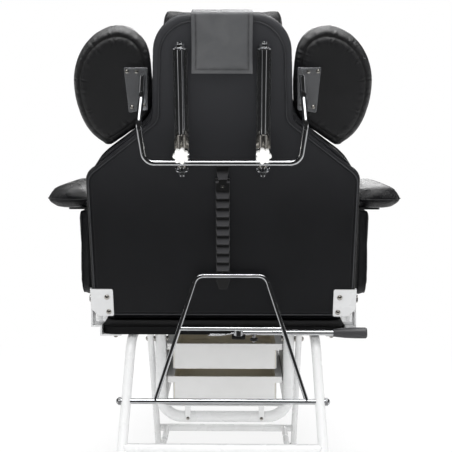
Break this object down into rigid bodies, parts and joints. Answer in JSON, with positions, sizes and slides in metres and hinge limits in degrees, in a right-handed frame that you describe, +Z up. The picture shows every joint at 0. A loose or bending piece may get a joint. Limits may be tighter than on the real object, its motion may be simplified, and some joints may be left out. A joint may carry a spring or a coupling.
{
  "type": "threading chair",
  "caption": "Reclining salon threading chair seen from behind: black padded back with toothed rack, head pads, armrests and two trays under the seat.",
  "frame": {"origin": "on the floor, under the middle of the chair's overall width and length with the leg rest level", "axes": "+X to the right as seen in the picture, from behind the chair; +Y from the head end to the leg rest; +Z up"},
  "size_m": [0.8288, 1.2289, 1.2162],
  "materials": {
    "white_metal": "gloss",
    "chrome": "polished",
    "rubber_black": "matt",
    "vinyl_black": "semi gloss",
    "board_black": "satin",
    "black_plastic": "satin",
    "white_plastic": "gloss",
    "steel": "bright"
  },
  "bodies": {
    "frame": {"rear_leg_left": "white_metal", "rear_leg_right": "white_metal", "seat_rail_left": "white_metal", "seat_rail_right": "white_metal", "front_leg_left": "white_metal", "front_leg_right": "white_metal", "rear_cross_tubes": "white_metal", "front_cross_tube": "white_metal", "stretchers": "white_metal", "seat_cross_tube": "white_metal", "foot_caps": "rubber_black", "tray_hanger": "white_metal", "tray_bracket": "white_metal", "tray_runner_left": "white_metal", "tray_runner_right": "white_metal", "frame_bolts": "steel", "seat_board": "board_black", "seat_cushion": "vinyl_black", "seat_hinge_left": "white_metal", "seat_hinge_right": "white_metal", "pivot_bolts": "steel", "arm_sockets": "white_metal", "lever_bracket": "white_metal"},
    "back": {"back_board": "vinyl_black", "back_cushion": "vinyl_black", "back_hinge_left": "white_metal", "back_hinge_right": "white_metal", "rack": "black_plastic", "back_screws": "steel", "guide_channel_left": "chrome", "guide_channel_right": "chrome", "guide_rods": "chrome", "head_pillow": "vinyl_black", "pillow_flap": "vinyl_black"},
    "head_frame": {"slider_left": "steel", "slider_right": "steel", "head_frame_rod": "chrome", "pad_plate_left": "steel", "pad_plate_right": "steel", "pad_screws": "steel", "side_pad_left": "vinyl_black", "side_pad_right": "vinyl_black"},
    "knob_left": {"star_knob_left": "white_plastic"},
    "knob_right": {"star_knob_right": "white_plastic"},
    "prop": {"prop": "chrome", "prop_cap_nuts": "chrome"},
    "leg_rest": {"leg_rest_board": "board_black", "leg_rest_cushion": "vinyl_black", "leg_rest_bracket": "white_metal"},
    "lever": {"lever_rod": "chrome", "lever_grip": "rubber_black"},
    "release_rod": {"release_rod": "steel"},
    "upper_tray": {"upper_tray": "white_plastic"},
    "lower_tray": {"lower_tray": "white_plastic"},
    "armrest_left": {"arm_frame_left": "chrome", "arm_panel_left": "vinyl_black", "arm_pad_left": "vinyl_black"},
    "armrest_right": {"arm_frame_right": "chrome", "arm_panel_right": "vinyl_black", "arm_pad_right": "vinyl_black"}
  },
  "joints": [
    {"name": "back_recline", "type": "hinge", "parent": "frame", "child": "back", "pos_m": [0, -0.29541, 0.573], "axis": [1, 0, 0], "range_deg": [0, 68]},
    {"name": "prop_turn", "type": "hinge", "parent": "frame", "child": "prop", "pos_m": [0, -0.39118, 0.358], "axis": [1, 0, 0], "range_deg": [0, 48.4]},
    {"name": "head_frame_slide", "type": "slide", "parent": "back", "child": "head_frame", "axis": [0, -0.225, 0.9744], "range_m": [0, 0.14]},
    {"name": "knob_left_turn", "type": "hinge", "parent": "head_frame", "child": "knob_left", "pos_m": [-0.0855, -0.4425, 0.91672], "axis": [0, -0.9744, -0.225], "range_deg": [0, 360]},
    {"name": "knob_right_turn", "type": "hinge", "parent": "head_frame", "child": "knob_right", "pos_m": [0.0855, -0.4425, 0.91672], "axis": [0, -0.9744, -0.225], "range_deg": [0, 360]},
    {"name": "leg_rest_drop", "type": "hinge", "parent": "frame", "child": "leg_rest", "pos_m": [0, 0.20059, 0.498], "axis": [-1, 0, 0], "range_deg": [0, 75]},
    {"name": "lever_turn", "type": "hinge", "parent": "frame", "child": "lever", "pos_m": [0.035, -0.33941, 0.503], "axis": [0, 0, -1], "range_deg": [0, 10], "stiffness_Nm_per_rad": 0.6},
    {"name": "release_rod_slide", "type": "slide", "parent": "frame", "child": "release_rod", "axis": [0, -1, 0], "range_m": [0, 0.0062]},
    {"name": "upper_tray_slide", "type": "slide", "parent": "frame", "child": "upper_tray", "axis": [0, -1, 0], "range_m": [0, 0.2]},
    {"name": "lower_tray_slide", "type": "slide", "parent": "frame", "child": "lower_tray", "axis": [0, -1, 0], "range_m": [0, 0.2]},
    {"name": "armrest_left_lift", "type": "slide", "parent": "frame", "child": "armrest_left", "axis": [0, 0, 1], "range_m": [0, 0.045]},
    {"name": "armrest_right_lift", "type": "slide", "parent": "frame", "child": "armrest_right", "axis": [0, 0, 1], "range_m": [0, 0.045]}
  ],
  "couplings": [
    {"joint": "prop_turn", "follows": "back_recline", "ratio": 0.7109},
    {"joint": "release_rod_slide", "follows": "lever_turn", "m_per_rad": 0.035}
  ]
}
